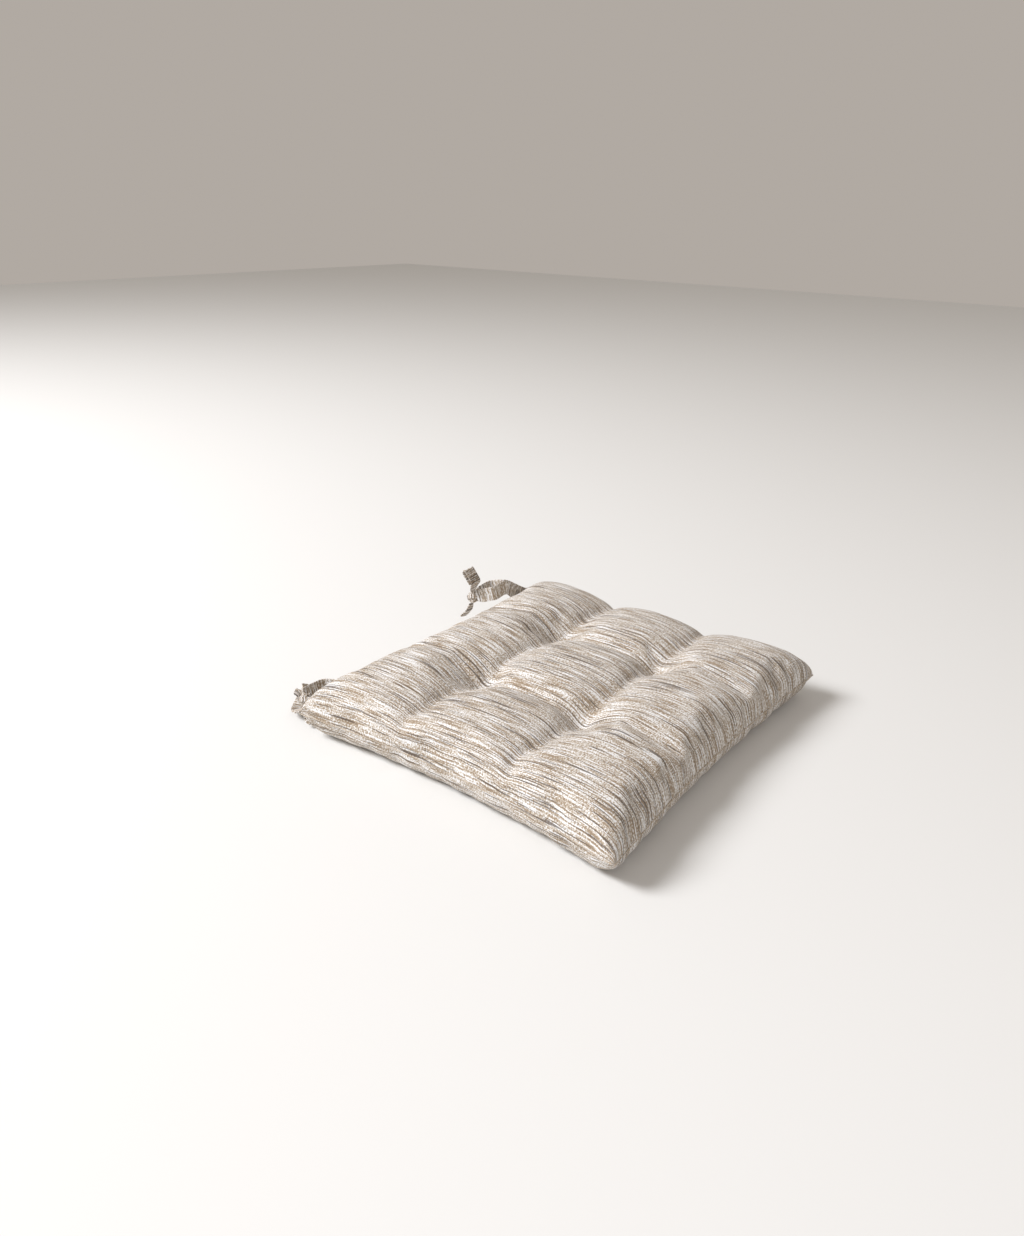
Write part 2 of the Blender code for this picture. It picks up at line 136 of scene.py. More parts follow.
class SeatPadSizes(bpy.types.PropertyGroup):
    """Sizes of the cloth and the thread."""

    cell: bpy.props.FloatProperty(
        name="Cell", description="Size of a cell of the cover's mesh", default=0.0055, unit="LENGTH"
    )
    swelling: bpy.props.FloatProperty(
        name="Swelling",
        description="The most that the simulation may move the cover",
        default=0.010,
        unit="LENGTH",
    )
    spare_cloth: bpy.props.FloatProperty(
        name="Spare cloth",
        description="Share by which the cloth is larger than the shape that it starts from",
        default=0.02,
    )
    gather_depth: bpy.props.FloatProperty(
        name="Gather depth",
        description="Depth of the gathers along the seam",
        default=0.0016,
        unit="LENGTH",
    )
    fold_depth: bpy.props.FloatProperty(
        name="Fold depth",
        description="Depth of the folds that run out from a tuft",
        default=0.0012,
        unit="LENGTH",
    )
    tie_width: bpy.props.FloatProperty(
        name="Tie width", description="Width of a tie", default=0.019, unit="LENGTH"
    )
    tie_thickness: bpy.props.FloatProperty(
        name="Tie thickness",
        description="Thickness of a tie, which is cloth folded in four",
        default=0.002,
        unit="LENGTH",
    )
    seam_stitch: bpy.props.FloatProperty(
        name="Seam stitch",
        description="Length of a stitch of the seam",
        default=0.0035,
        unit="LENGTH",
    )


class SeatPadColours(bpy.types.PropertyGroup):
    """Colours of the yarns, as sRGB hex values."""

    white_slub: bpy.props.StringProperty(
        name="White slub", description="Colour of the whitest yarn", default="#F1F1F2"
    )
    cream: bpy.props.StringProperty(
        name="Cream", description="Colour of the undyed cotton", default="#D9D4CC"
    )
    beige: bpy.props.StringProperty(
        name="Beige", description="Colour of the yarn that fills most of the cloth", default="#C0B3A2"
    )
    tan: bpy.props.StringProperty(
        name="Tan", description="Colour of the flax yarn", default="#9C8A75"
    )
    dark: bpy.props.StringProperty(
        name="Dark", description="Colour of the thin dark yarn", default="#4E4239"
    )
    thread: bpy.props.StringProperty(
        name="Thread", description="Colour of the sewing thread", default="#CBBBA6"
    )
    fibre: bpy.props.StringProperty(
        name="Fibre", description="Colour of the filling", default="#F2F2EF"
    )
    floor: bpy.props.StringProperty(
        name="Floor", description="Colour of the floor", default="#E2E2E0"
    )


# ---------------------------------------------------------------- materials


def linear(colour):
    """An sRGB hex value as linear red, green, blue and alpha."""
    shares = [int(colour[at : at + 2], 16) / 255 for at in (1, 3, 5)]
    return (*(s / 12.92 if s <= 0.04045 else ((s + 0.055) / 1.055) ** 2.4 for s in shares), 1.0)


def add_node(tree, kind, inputs=(), **settings):
    """A node with its settings, its values and its links."""
    node = tree.nodes.new(kind)
    for name, value in settings.items():
        setattr(node, name, value)
    for name, value in dict(inputs).items():
        if isinstance(value, bpy.types.NodeSocket):
            tree.links.new(value, node.inputs[name])
        else:
            node.inputs[name].default_value = value
    return node


def new_material(name):
    material = bpy.data.materials.new(name)
    material.use_nodes = True
    return material, material.node_tree, material.node_tree.nodes["Principled BSDF"]


def colour_steps(node, steps):
    """Sets a colour ramp to these places and sRGB hex values."""
    ramp = node.color_ramp
    while len(ramp.elements) < len(steps):
        ramp.elements.new(0.5)
    for element, (place, colour) in zip(ramp.elements, steps):
        element.position = place
        element.color = linear(colour)
    return node.outputs["Color"]


def slub_cotton_weave(colours):
    """Plain-woven slub cotton. Yarns of uneven thickness and dye leave streaks along the cloth,
    each some centimetres long, under a fine rib of cross threads. It is matt, with a soft sheen
    from loose fibres.
    """
    material, tree, shader = new_material("slub_cotton_weave")
    cloth = add_node(tree, "ShaderNodeUVMap", uv_map="cloth").outputs["UV"]

    def streaks(width_mm, length_mm, detail, shift):
        scale = (1000 / width_mm, 1000 / length_mm, 1)
        place = {"Vector": cloth, "Scale": scale, "Location": (shift, shift, shift)}
        across = add_node(tree, "ShaderNodeMapping", place)
        inputs = {"Vector": across.outputs["Vector"], "Scale": 1.0, "Detail": detail}
        return add_node(tree, "ShaderNodeTexNoise", inputs).outputs["Fac"]

    fine = streaks(1.5, 40, 2.0, 0.0)
    broad = streaks(4.0, 60, 1.0, 7.3)
    blocks = streaks(24, 36, 1.0, 3.1)
    dark = streaks(1.6, 60, 1.0, 11.7)
    speckle = streaks(1.6, 1.8, 1.0, 5.9)

    def maths(operation, first, second, clamp=False):
        inputs = {0: first, 1: second}
        return add_node(
            tree, "ShaderNodeMath", inputs, operation=operation, use_clamp=clamp
        ).outputs[0]

    tone = 0.5
    for pattern, share in ((fine, 2.1), (broad, 0.25), (blocks, 0.2), (speckle, 1.6)):
        tone = maths("ADD", tone, maths("MULTIPLY", maths("SUBTRACT", pattern, 0.5), share))
    ramp = add_node(tree, "ShaderNodeValToRGB", {"Fac": tone})
    yarns = colour_steps(
        ramp,
        (
            (0.26, colours.tan),
            (0.44, colours.beige),
            (0.60, colours.cream),
            (0.76, colours.white_slub),
        ),
    )
    dark_share = add_node(
        tree,
        "ShaderNodeMapRange",
        {"Value": dark, "From Min": 0.59, "From Max": 0.64, "To Min": 0.0, "To Max": 0.80},
    ).outputs["Result"]
    mixed = add_node(
        tree,
        "ShaderNodeMix",
        {"Factor": dark_share, "A": yarns, "B": linear(colours.dark)},
        data_type="RGBA",
    )
    # Threads lie about 0.6 mm apart in such cloth. They are drawn at 0.94 mm, so that they still
    # show: a wave repeats at 2 pi / 20 of a unit divided by its scale, and a unit is 1.5 mm here.
    thread_scale = {"Vector": cloth, "Scale": (1000 / 1.5, 1000 / 1.5, 1)}
    threads = add_node(tree, "ShaderNodeMapping", thread_scale).outputs["Vector"]
    rib_inputs = {"Vector": threads, "Scale": 1 / 2, "Distortion": 0.6, "Detail": 1.0}
    rib = add_node(
        tree, "ShaderNodeTexWave", rib_inputs, bands_direction="Y"
    ).outputs["Fac"]
    warp = add_node(tree, "ShaderNodeTexWave", rib_inputs, bands_direction="X").outputs["Fac"]
    weave = maths("MULTIPLY", maths("ADD", rib, warp), 0.5)
    shade = add_node(
        tree,
        "ShaderNodeMapRange",
        {"Value": weave, "From Min": 0.0, "From Max": 1.0, "To Min": 0.86, "To Max": 1.04},
    ).outputs["Result"]
    coloured = add_node(
        tree,
        "ShaderNodeMix",
        {"Factor": 1.0, "A": mixed.outputs["Result"], "B": shade},
        data_type="RGBA",
        blend_type="MULTIPLY",
    )
    tree.links.new(coloured.outputs["Result"], shader.inputs["Base Color"])
    relief = maths("ADD", maths("MULTIPLY", weave, 0.5), maths("MULTIPLY", fine, 1.2))
    bump = add_node(
        tree, "ShaderNodeBump", {"Height": relief, "Strength": 0.55, "Distance": 0.0006}
    )
    tree.links.new(bump.outputs["Normal"], shader.inputs["Normal"])
    shader.inputs["Roughness"].default_value = 0.92
    shader.inputs["Specular IOR Level"].default_value = 0.25
    shader.inputs["Sheen Weight"].default_value = 0.12
    shader.inputs["Sheen Roughness"].default_value = 0.5
    return material


def twisted_cotton_thread(colours):
    """Spun cotton sewing thread. Two plies twist round each other, which gives a slanted rib."""
    material, tree, shader = new_material("twisted_cotton_thread")
    place = add_node(tree, "ShaderNodeTexCoord").outputs["Object"]
    ply = add_node(
        tree,
        "ShaderNodeTexWave",
        {"Vector": place, "Scale": 1000 / 0.9 / 20, "Distortion": 0.3},
        bands_direction="DIAGONAL",
    ).outputs["Fac"]
    ramp = add_node(tree, "ShaderNodeValToRGB", {"Fac": ply})
    plies = colour_steps(ramp, ((0.0, colours.beige), (1.0, colours.thread)))
    tree.links.new(plies, shader.inputs["Base Color"])
    bump = add_node(tree, "ShaderNodeBump", {"Height": ply, "Strength": 0.4, "Distance": 0.0002})
    tree.links.new(bump.outputs["Normal"], shader.inputs["Normal"])
    shader.inputs["Roughness"].default_value = 0.75
    return material


def carded_polyester_fibre(colours):
    """Loose carded polyester fibre: white, matt and cloudy, in clumps of about a centimetre."""
    material, tree, shader = new_material("carded_polyester_fibre")
    place = add_node(tree, "ShaderNodeTexCoord").outputs["Object"]
    clumps = add_node(
        tree, "ShaderNodeTexNoise", {"Vector": place, "Scale": 1000 / 10, "Detail": 8.0}
    ).outputs["Fac"]
    ramp = add_node(tree, "ShaderNodeValToRGB", {"Fac": clumps})
    tones = colour_steps(ramp, ((0.3, colours.cream), (0.6, colours.fibre)))
    tree.links.new(tones, shader.inputs["Base Color"])
    bump = add_node(tree, "ShaderNodeBump", {"Height": clumps, "Strength": 0.8, "Distance": 0.002})
    tree.links.new(bump.outputs["Normal"], shader.inputs["Normal"])
    shader.inputs["Roughness"].default_value = 1.0
    return material


def painted_floor(colours):
    """Matt emulsion paint on a smooth board, with the faint unevenness that a roller leaves."""
    material, tree, shader = new_material("painted_floor")
    place = add_node(tree, "ShaderNodeTexCoord").outputs["Object"]
    roller = add_node(
        tree, "ShaderNodeTexNoise", {"Vector": place, "Scale": 1000 / 2.0, "Detail": 2.0}
    ).outputs["Fac"]
    bump = add_node(tree, "ShaderNodeBump", {"Height": roller, "Strength": 0.05, "Distance": 0.0002})
    tree.links.new(bump.outputs["Normal"], shader.inputs["Normal"])
    shader.inputs["Base Color"].default_value = linear(colours.floor)
    shader.inputs["Roughness"].default_value = 0.9
    return material


def material_named(name, make):
    """The material of this name, made the first time that it is asked for."""
    found = bpy.data.materials.get(name)
    return found or make(bpy.context.scene.seat_pad_colours)


# ---------------------------------------------------------------- the cover


def swell(share):
    return np.sqrt(np.maximum(0, 1 - np.abs(share) ** FULLNESS))


def curve_up(share, start):
    past = np.maximum(0, (np.abs(share) - start) / (1 - start))
    return np.sqrt(np.maximum(0, 1 - np.minimum(1, past) ** 2))


def tuft_distance(x, y):
    return np.hypot(np.abs(x) - TUFT_X, np.abs(y) - TUFT_Y)


def near_tuft(x, y, reach):
    away = np.maximum(0, tuft_distance(x, y) - STITCH_PATCH)
    return np.exp(-((2 * away / reach) ** 1.5))


def hollow(away):
    """The share of a valley's depth that is left at this distance from its line."""
    wide, narrow = (
        share * np.exp(-((away / reach) ** 2)) for share, reach in zip(CREASE_SHARES, CREASE_REACHES)
    )
    return wide + narrow


def valley_depth(x, y):
    """Deep valleys across the pad, through two tufts each, and soft ones from front to rear."""
    places_x = (-HALF_WIDTH, -TUFT_X, 0, TUFT_X, HALF_WIDTH)
    across = np.interp(x, places_x, (0.004, 0.016, 0.012, 0.017, 0.013))
    along = np.interp(np.abs(y), (0, TUFT_Y, TUFT_Y + 0.05), (0.010, 0.013, 0.001))
    return np.maximum(
        across * hollow(np.abs(np.abs(y) - TUFT_Y)), along * hollow(np.abs(np.abs(x) - TUFT_X))
    )


def folds_at_tufts(x, y):
    """Folds that run out from each stitch, as a multiple of their depth from -1.6 to 1.6."""
    away = tuft_distance(x, y)
    side_x, side_y = np.sign(x), np.sign(y)
    angle = np.arctan2(y - side_y * TUFT_Y, x - side_x * TUFT_X)
    ring = np.exp(-(((away - FOLD_RING) / FOLD_RING_WIDTH) ** 2))
    turns = np.cos(6 * angle + 1.7 * side_x + 0.9 * side_y) + 0.6 * np.cos(11 * angle + side_x)
    return ring * turns


def in_plan(x, y):
    """Bows the sides inwards between the corners and draws the corners' tips in."""
    across, along = x / HALF_WIDTH, y / HALF_DEPTH
    tip = CORNER_DRAW_IN * (across * along) ** 8
    bow_x = SIDE_BOW * (1 - along**2) * across**4
    bow_y = SEAM_BOW * (1 - across**2) * along**4
    return x * (1 - (bow_x + tip) / HALF_WIDTH), y * (1 - (bow_y + tip) / HALF_DEPTH)


def cover_height(share_x, share_y, side):
    """The height of the top (side 1) or the underside (side -1) before the cloth swells."""
    x, y = share_x * HALF_WIDTH, share_y * HALF_DEPTH
    if side > 0:
        rise = (swell(share_x) * swell(share_y)) ** PLUMPNESS
        dimple = near_tuft(x, y, TUFT_REACH)
        rear_right = np.maximum(0, share_x) * np.maximum(0, share_y)
        crown = TOP_HIGH.z - ROOM_TO_SWELL - THINNER_CORNER * rear_right
        crown = crown + FULLER_REAR * np.maximum(0, share_y) ** 2
        height = SEAM_HEIGHT + (crown - SEAM_HEIGHT) * rise
        height -= (crown - TUFT_TOP) * dimple
        return height - valley_depth(x, y) * rise * (1 - dimple)
    flat_x, flat_y = 1 - UNDERSIDE_CURVE / HALF_WIDTH, 1 - UNDERSIDE_CURVE / HALF_DEPTH
    level = curve_up(share_x, flat_x) * curve_up(share_y, flat_y)
    return SEAM_HEIGHT * (1 - level) + TUFT_UNDER * near_tuft(x, y, TUFT_REACH_UNDER)


def cloth_length(half, side):
    """A function from a share of half the pad to about the length of cloth from its middle, along a
    profile without tufts and valleys.
    """
    shares = np.linspace(0, 1, 400)
    if side > 0:
        rise = (TOP_HIGH.z - SEAM_HEIGHT) * swell(shares)
    else:
        rise = SEAM_HEIGHT * curve_up(shares, 1 - UNDERSIDE_CURVE / half)
    steps = np.hypot(np.diff(shares * half), np.diff(rise))
    lengths = np.concatenate([[0], np.cumsum(steps)])
    return lambda share: np.sign(share) * np.interp(np.abs(share), shares, lengths)


def cover_mesh(cell):
    """The two panels, sewn together at their edges, with lengths along the cloth as its UV map."""
    cells_x, cells_y = (2 * round(half / cell) for half in (HALF_WIDTH, HALF_DEPTH))
    bm = bmesh.new()
    uv_layer = bm.loops.layers.uv.new("cloth")
    panel_of = bm.verts.layers.int.new("panel")
    for side in (1, -1):
        made = bmesh.ops.create_grid(bm, x_segments=cells_x, y_segments=cells_y, size=1)["verts"]
        even = np.array([vert.co[:2] for vert in made])
        share = np.sign(even) * (1 - (1 - np.minimum(1, np.abs(even))) ** CROWDING)
        x, y = in_plan(share[:, 0] * HALF_WIDTH, share[:, 1] * HALF_DEPTH)
        z = cover_height(share[:, 0], share[:, 1], side)
        u = cloth_length(HALF_WIDTH, side)(share[:, 0]) * side
        v = cloth_length(HALF_DEPTH, side)(share[:, 1])
        places = {}
        for vert, *place in zip(made, x, y, z, u, v):
            vert.co = place[:3]
            vert[panel_of] = side
            places[vert] = place[3:]
        for face in {face for vert in made for face in vert.link_faces}:
            for loop in face.loops:
                loop[uv_layer].uv = places[loop.vert]
            if side < 0:
                face.normal_flip()
    edge = [vert for vert in bm.verts if vert.is_boundary]
    bmesh.ops.remove_doubles(bm, verts=edge, dist=1e-5)
    mesh = bpy.data.meshes.new("pad_cover")
    bm.to_mesh(mesh)
    bm.free()
    return mesh


def places_of(mesh):
    flat = np.empty(len(mesh.vertices) * 3)
    mesh.vertices.foreach_get("co", flat)
    return flat.reshape(-1, 3)


def set_places(mesh, places):
    mesh.vertices.foreach_set("co", places.ravel())
    mesh.update()


def blow_up(obj, held, sizes):
    """Lets air pressure swell the cover from its first shape. Held vertices stay where they are."""
    scene = bpy.context.scene
    first = places_of(obj.data)
    group = obj.vertex_groups.new(name="held")
    group.add([int(index) for index in np.flatnonzero(held)], 1.0, "REPLACE")
    cloth = obj.modifiers.new("air pressure", "CLOTH")
    settings = cloth.settings
    settings.quality = 6
    settings.mass = 0.3
    settings.tension_stiffness = 25
    settings.compression_stiffness = 12
    settings.shear_stiffness = 5
    settings.bending_stiffness = 1.5
    settings.vertex_group_mass = "held"
    settings.use_pressure = True
    settings.uniform_pressure_force = 4
    settings.shrink_min = -sizes.spare_cloth
    settings.effector_weights.gravity = 0
    cloth.point_cache.frame_start, cloth.point_cache.frame_end = 1, 20
    for number in range(1, 21):
        scene.frame_set(number)
    solved = obj.evaluated_get(bpy.context.evaluated_depsgraph_get())
    swollen = places_of(solved.to_mesh())
    solved.to_mesh_clear()
    obj.modifiers.remove(cloth)
    obj.vertex_groups.remove(group)
    scene.frame_set(1)
    moved = swollen - first
    far = np.linalg.norm(moved, axis=1, keepdims=True)
    cap = sizes.swelling
    set_places(obj.data, first + moved * cap * np.tanh(far / cap) / np.maximum(far, 1e-9))


def wander(places, scale, seed):
    """Smooth noise from -1 to 1 at these places, with features of about this size in metres."""
    shift = Vector((seed * 3.7, seed * 1.3, seed * 5.1))
    return np.array([noise.noise(Vector(place) / scale + shift) for place in places])


def gather_seam(mesh, first, sizes):
    """Small gathers that run in from the seam, and the folds round the tufts."""
    places = places_of(mesh)
    share_x = np.clip(np.abs(first[:, 0]) / HALF_WIDTH, 0, 1)
    share_y = np.clip(np.abs(first[:, 1]) / HALF_DEPTH, 0, 1)
    edge_x = (1 - share_x) * HALF_WIDTH
    edge_y = (1 - share_y) * HALF_DEPTH
    from_edge = np.minimum(edge_x, edge_y)
    along = np.where(edge_x < edge_y, first[:, 1], first[:, 0])
    which = np.where(edge_x < edge_y, np.sign(first[:, 0]), 3 * np.sign(first[:, 1]))
    side = np.where(first[:, 2] > SEAM_HEIGHT, 1.0, 2.0)
    line = np.stack([along, which, side], axis=1)
    small = wander(line * (1, 0.2, 0.2), GATHER_LENGTHS[0], 2.0)
    large = wander(line * (1, 0.2, 0.2), GATHER_LENGTHS[1], 5.0)
    short, long = GATHER_REACHES
    fade = np.exp(-from_edge / short) + 0.5 * np.exp(-from_edge / long)
    depth = sizes.gather_depth * (0.8 * small + 0.9 * large) * fade
    depth += np.where(first[:, 2] > SEAM_HEIGHT, sizes.fold_depth, 0) * folds_at_tufts(
        first[:, 0], first[:, 1]
    )
    normals = np.empty(len(mesh.vertices) * 3)
    mesh.vertices.foreach_get("normal", normals)
    normals = normals.reshape(-1, 3)
    places = places + normals * depth[:, None]
    set_places(mesh, places)


def rest_on_floor(mesh):
    """What would sink below the underside's plane lies flat on it."""
    places = places_of(mesh)
    places[:, 2] = np.maximum(places[:, 2], 0.0)
    set_places(mesh, places)


def shown_object(name, mesh, material, body):
    """A smooth-shaded piece with its material that rides on a body."""
    mesh.materials.clear()
    mesh.materials.append(material)
    mesh.shade_smooth()
    obj = bpy.data.objects.new(name, mesh)
    bpy.context.scene.collection.objects.link(obj)
    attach(obj, body)
    return obj


class SEATPAD_OT_cover(bpy.types.Operator):
    """Make the cover: two panels, blown up by the filling and held down at the tufts"""

    bl_idname = "seat_pad.cover"
    bl_label = "Cover"

    def execute(self, context):
        sizes = context.scene.seat_pad_sizes
        mesh = cover_mesh(sizes.cell)
        obj = bpy.data.objects.new("pad_cover", mesh)
        context.scene.collection.objects.link(obj)
        first = places_of(mesh)
        at_seam = np.abs(first[:, 2] - SEAM_HEIGHT) < 1e-6
        on_seat = first[:, 2] < HELD_UNDER
        at_tuft = tuft_distance(first[:, 0], first[:, 1]) < HELD_AT_TUFT
        held = at_seam | on_seat | at_tuft
        blow_up(obj, held, sizes)
        gather_seam(mesh, first, sizes)
        rest_on_floor(mesh)
        bpy.data.objects.remove(obj)
        cover = shown_object(
            "pad_cover", mesh, material_named("slub_cotton_weave", slub_cotton_weave), "pad"
        )
        finer = cover.modifiers.new("finer", "SUBSURF")
        finer.levels = finer.render_levels = 1
        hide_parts("top_cover", "bottom_cover")
        return {"FINISHED"}


class SEATPAD_OT_filling(bpy.types.Operator):
    """Make the filling: loose fibre that fills the cover"""

    bl_idname = "seat_pad.filling"
    bl_label = "Filling"

    def execute(self, context):
        cover = bpy.data.objects["pad_cover"]
        mesh = cover.data.copy()
        mesh.name = "fibre_filling_clumps"
        places = places_of(mesh)
        middle = np.array([0, 0, SEAM_HEIGHT])
        inside = middle + (places - middle) * FILLING_SHARES
        set_places(mesh, inside)
        material = material_named("carded_polyester_fibre", carded_polyester_fibre)
        filling = shown_object("fibre_filling_clumps", mesh, material, "pad")
        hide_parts("fibre_filling")
        return {"FINISHED"}


# ---------------------------------------------------------------- stitches


def thread_curve(name, stitches, radius, body):
    """One curve object with a short line for each stitch."""
    curve = bpy.data.curves.new(name, "CURVE")
    curve.dimensions = "3D"
    curve.bevel_depth = radius
    curve.bevel_resolution = 1
    curve.use_fill_caps = True
    for stitch in stitches:
        spline = curve.splines.new("POLY")
        spline.points.add(len(stitch) - 1)
        for point, place in zip(spline.points, stitch):
            point.co = (*place, 1)
    curve.materials.append(material_named("twisted_cotton_thread", twisted_cotton_thread))
    obj = bpy.data.objects.new(name, curve)
    bpy.context.scene.collection.objects.link(obj)
    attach(obj, body)
    return obj


def seam_line():
    """Points along the cover's seam, in order, from the shares at which its grid has its edge."""
    shares = np.linspace(-1, 1, 240)
    one = np.ones_like(shares)
    rim = [
        (shares, -one),
        (one, shares),
        (shares[::-1], one),
        (-one, shares[::-1]),
    ]
    x = np.concatenate([side[0][:-1] for side in rim]) * HALF_WIDTH
    y = np.concatenate([side[1][:-1] for side in rim]) * HALF_DEPTH
    x, y = in_plan(x, y)
    return np.stack([x, y, np.full_like(x, SEAM_HEIGHT)], axis=1)


def along_line(line, closed=True):
    """A function from a distance along the line to the place there, and the line's length."""
    points = np.vstack([line, line[:1]]) if closed else line
    steps = np.linalg.norm(np.diff(points, axis=0), axis=1)
    at = np.concatenate([[0], np.cumsum(steps)])

    def place(distance):
        return Vector([np.interp(distance, at, points[:, axis]) for axis in range(3)])

    return place, at[-1]


class SEATPAD_OT_stitches(bpy.types.Operator):
    """Sew the seam, close its opening by hand and give the tufts' threads the thread's material"""

    bl_idname = "seat_pad.stitches"
    bl_label = "Stitches"

    def execute(self, context):
        sizes = context.scene.seat_pad_sizes
        line = seam_line()
        place, length = along_line(line * (1.0015, 1.0015, 1))
        low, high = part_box("closing_seam_thread")
        stitches = []
        for number in range(int(length / sizes.seam_stitch)):
            start = number * sizes.seam_stitch
            points = [place(start + share * sizes.seam_stitch) for share in (0.0, 0.4, 0.8)]
            opening = points[0].y > 0 and low[0] < points[0].x < high[0]
            if not opening:
                stitches.append(points)
        seam = thread_curve("seam_stitches", stitches, THREAD_RADIUS, "pad")
        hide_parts("perimeter_seam_thread")

        slants = []
        count = int((high[0] - low[0]) / HAND_STITCH_PITCH)
        for number in range(count):
            x = low[0] + (number + 0.5) * HAND_STITCH_PITCH
            _, y = in_plan(x, HALF_DEPTH)
            slants.append(
                [
                    Vector((x - HAND_STITCH_SLANT, y - 0.0006, SEAM_HEIGHT + HAND_STITCH_RISE)),
                    Vector((x, y + 0.0012, SEAM_HEIGHT)),
                    Vector((x + HAND_STITCH_SLANT, y - 0.0006, SEAM_HEIGHT - HAND_STITCH_RISE)),
                ]
            )
        closing = thread_curve("hand_stitches", slants, THREAD_RADIUS, "pad")
        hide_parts("closing_seam_thread")
        thread = material_named("twisted_cotton_thread", twisted_cotton_thread)
        for name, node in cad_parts.items():
            if name.startswith("tuft_thread"):
                node.data.materials.clear()
                node.data.materials.append(thread)
        return {"FINISHED"}


# ---------------------------------------------------------------- ties


def post_axis():
    return Vector((0, math.sin(POST_LEAN), math.cos(POST_LEAN)))


def at_post(post, x, y, z=0.0):
    """A point beside a post: x across it, y through it square to its lean, z along it."""
    back = Vector((0, math.cos(POST_LEAN), -math.sin(POST_LEAN)))
    return post + Vector((x, 0, 0)) + y * back + z * post_axis()


def smooth_line(points, steps=10):
    """A centripetal Catmull-Rom line through the points, which stays close to its corners."""
    ends = [2 * points[0] - points[1], *points, 2 * points[-1] - points[-2]]
    line = []
    for a, b, c, d in zip(ends, ends[1:], ends[2:], ends[3:]):
        at_b = math.sqrt((b - a).length)
        at_c = at_b + math.sqrt((c - b).length)
        at_d = at_c + math.sqrt((d - c).length)
        for step in range(steps):
            share = step / steps
            at = at_b + share * (at_c - at_b)
            near_b = a.lerp(b, at / at_b).lerp(b.lerp(c, share), at / at_c)
            to_d = c.lerp(d, (at - at_c) / (at_d - at_c))
            near_c = b.lerp(c, share).lerp(to_d, (at - at_b) / (at_d - at_b))
            line.append(near_b.lerp(near_c, share))
    return [*line, points[-1].copy()]


def length_of(line):
    return sum((b - a).length for a, b in zip(line, line[1:]))


def strip_mesh(name, line, first_width, last_width, turn, pinches, sizes, seed):
    """A folded strip of cloth along a line. Its width turns from one direction to another over the
    length called turn, and it is gathered narrow and thick at the pinched places, each a distance
    from the start and the share of the width that is left there.
    """
    bm = bmesh.new()
    uv_layer = bm.loops.layers.uv.new("cloth")
    around = 20
    count = len(line)
    at = [0.0]
    for a, b in zip(line, line[1:]):
        at.append(at[-1] + (b - a).length)
    rings = []
    for index, point in enumerate(line):
        along = (line[min(index + 1, count - 1)] - line[max(index - 1, 0)]).normalized()
        turned = min(1.0, at[index] / turn) if turn else 1.0
        width = first_width.lerp(last_width, turned)
        width = (width - width.dot(along) * along).normalized()
        face = along.cross(width)
        narrow = 1.0
        for place, left in pinches:
            narrow = min(narrow, left + (1 - left) * min(1.0, abs(at[index] - place) / PINCH_REACH) ** 0.8)
        half_width = sizes.tie_width / 2 * narrow
        half_thickness = sizes.tie_thickness / 2 / narrow**0.5
        ring = []
        for step in range(around):
            angle = 2 * math.pi * step / around
            c, s = math.cos(angle), math.sin(angle)
            x = half_width * math.copysign(abs(c) ** 0.5, c)
            edge = abs(x) / half_width
            ridge = 1 + 0.25 * (edge > 0.7) * (narrow > 0.9)
            y = half_thickness * ridge * math.copysign(abs(s) ** 0.6, s)
            ripple = 0.0005 * narrow**2 * noise.noise(Vector((at[index] / 0.011, x / 0.009, seed)))
            fold = (1 - narrow) * 0.0004 * math.cos(2.2 * math.pi * x / half_width)
            cup = 0.0008 * narrow**3 * (1 - edge**2)
            ring.append(bm.verts.new(point + x * width + (y + ripple + fold + cup) * face))
        rings.append(ring)
    for index in range(count - 1):
        for step in range(around):
            after = (step + 1) % around
            ring, following = rings[index], rings[index + 1]
            face = bm.faces.new((ring[step], ring[after], following[after], following[step]))
            shares = (step, step + 1, step + 1, step)
            places = (at[index], at[index], at[index + 1], at[index + 1])
            for loop, share, place in zip(face.loops, shares, places):
                loop[uv_layer].uv = (place, share / around * 2.1 * sizes.tie_width)
    bm.faces.new(list(reversed(rings[0])))
    bm.faces.new(rings[-1])
    bmesh.ops.recalc_face_normals(bm, faces=bm.faces)
    mesh = bpy.data.meshes.new(name)
    bm.to_mesh(mesh)
    bm.free()
    return mesh


def post_places(side):
    """Named places beside a post that a tie passes, at its corners and along its faces."""
    x, y = side * POST_X, POST_Y
    bend_x, bend_y = side * TIE_BEND, TIE_BEND
    return {
        "outer face, on a slant": (x + bend_x / 2, -y / 3),
        "front, outer end": (x - bend_x, -y),
        "front, inner end": (bend_x - x, -y),
        "inner face, front end": (-x, bend_y - y),
        "inner face, rear end": (-x, y - bend_y),
        "rear, inner end": (bend_x - x, y),
        "rear, outer end": (x - bend_x, y),
        "outer face, rear end": (x, y - bend_y),
    }


ROUTES = {
    ("left", "inner"): (
        "front, inner end",
        "inner face, front end",
        "inner face, rear end",
        "rear, inner end",
        "rear, outer end",
        "outer face, rear end",
    ),
    ("left", "outer"): (),
    ("right", "inner"): ("front, outer end", "front, inner end", "inner face, front end"),
    ("right", "outer"): ("outer face, on a slant", "outer face, rear end", "rear, outer end"),
}
LEFT_ENDS = {
    "bow": (
        (-0.001, 0.001, -KNOT_RADII.z - END_GAP),
        (
            (0, 0, 0),
            (0.000, 0.006, -0.005),
            (0.006, 0.017, -0.0075),
            (0.020, 0.026, -0.0075),
            (0.031, 0.029, -0.004),
            (0.027, 0.0325, 0.0005),
            (0.014, 0.0315, 0.0005),
        ),
    ),
    "end": (
        (-0.001, -0.003, -KNOT_RADII.z - END_GAP),
        ((0, 0, 0), (-0.001, -0.003, -0.005), (-0.001, -0.007, -0.009), (0, -0.012, -0.0105)),
    ),
}
